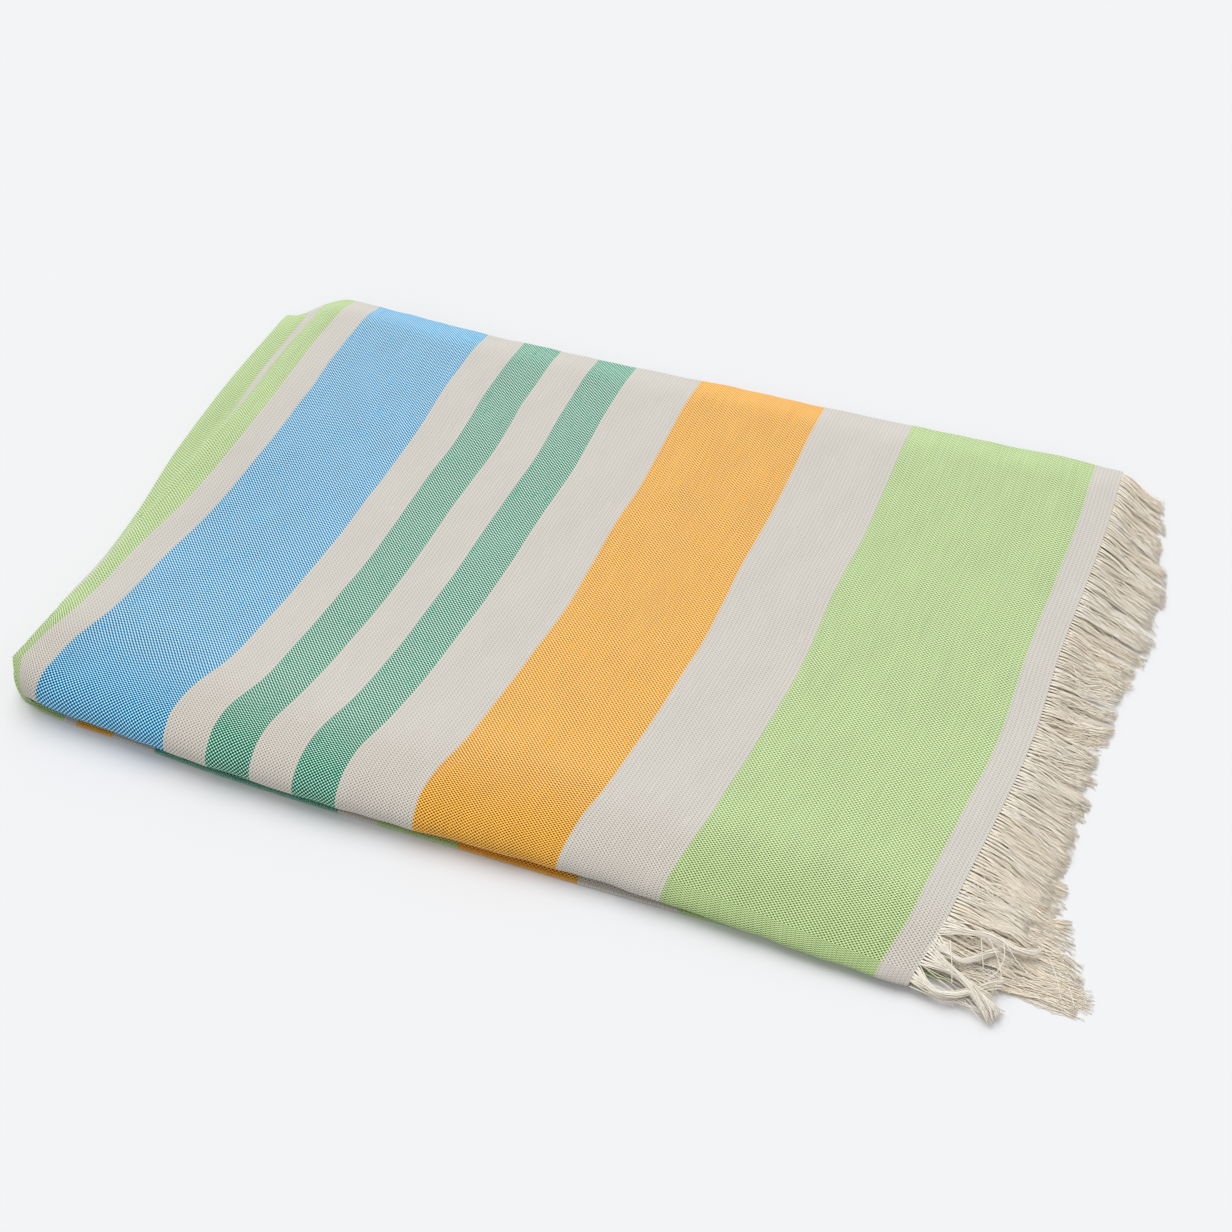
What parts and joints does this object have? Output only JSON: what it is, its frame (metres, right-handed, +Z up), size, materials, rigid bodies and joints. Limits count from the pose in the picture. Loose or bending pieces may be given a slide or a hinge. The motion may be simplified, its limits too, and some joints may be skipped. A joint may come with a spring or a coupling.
{
  "type": "beach towel",
  "caption": "Striped flat-woven cotton beach towel folded twice into a low soft slab, with loose warp fringes at its right side.",
  "frame": {"origin": "centre of the folded towel's bounding box, on the surface that it lies on", "axes": "+X along the folded towel from its folded left end to its fringed right end, +Y from its folded front edge to its open back edge, +Z up"},
  "size_m": [1.0042, 0.6155, 0.045],
  "materials": {
    "woven_cotton": "matt flat-woven cotton, cream warp with cream, lime, orange, green and blue weft bands",
    "fringe_cotton": "matt cream cotton yarn"
  },
  "bodies": {
    "root": {"towel_cloth": "woven_cotton", "fringe_upper": "fringe_cotton", "fringe_lower": "fringe_cotton"}
  },
  "joints": []
}
